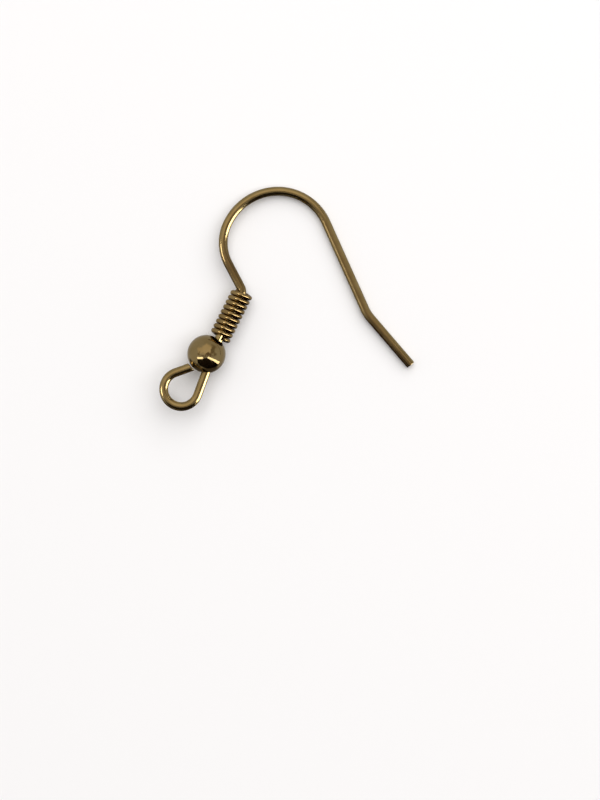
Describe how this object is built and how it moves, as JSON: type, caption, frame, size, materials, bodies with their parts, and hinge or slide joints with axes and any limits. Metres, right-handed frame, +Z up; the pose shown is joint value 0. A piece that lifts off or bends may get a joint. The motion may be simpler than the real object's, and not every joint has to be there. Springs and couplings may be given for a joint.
{
  "type": "ear wire",
  "caption": "Fishhook ear wire of round wire, with a coil wound round its shank, a hollow bead below it and an open drop loop to hang a drop from.",
  "frame": {"origin": "on the surface that the ear wire lies on, under the middle of its box", "axes": "+Y along the shank from the drop loop to the arch, +X from the shank towards the tail, +Z up from the surface"},
  "size_m": [0.0182, 0.0196, 0.003],
  "materials": {
    "gold_wire": "polished antique gold plate, slightly toned",
    "gold_coil": "polished antique gold plate, darker between the turns",
    "gold_bead": "mirror-bright antique gold plate"
  },
  "bodies": {
    "root": {"ear_hook": "gold_wire", "coil": "gold_coil", "bead": "gold_bead"}
  },
  "joints": []
}
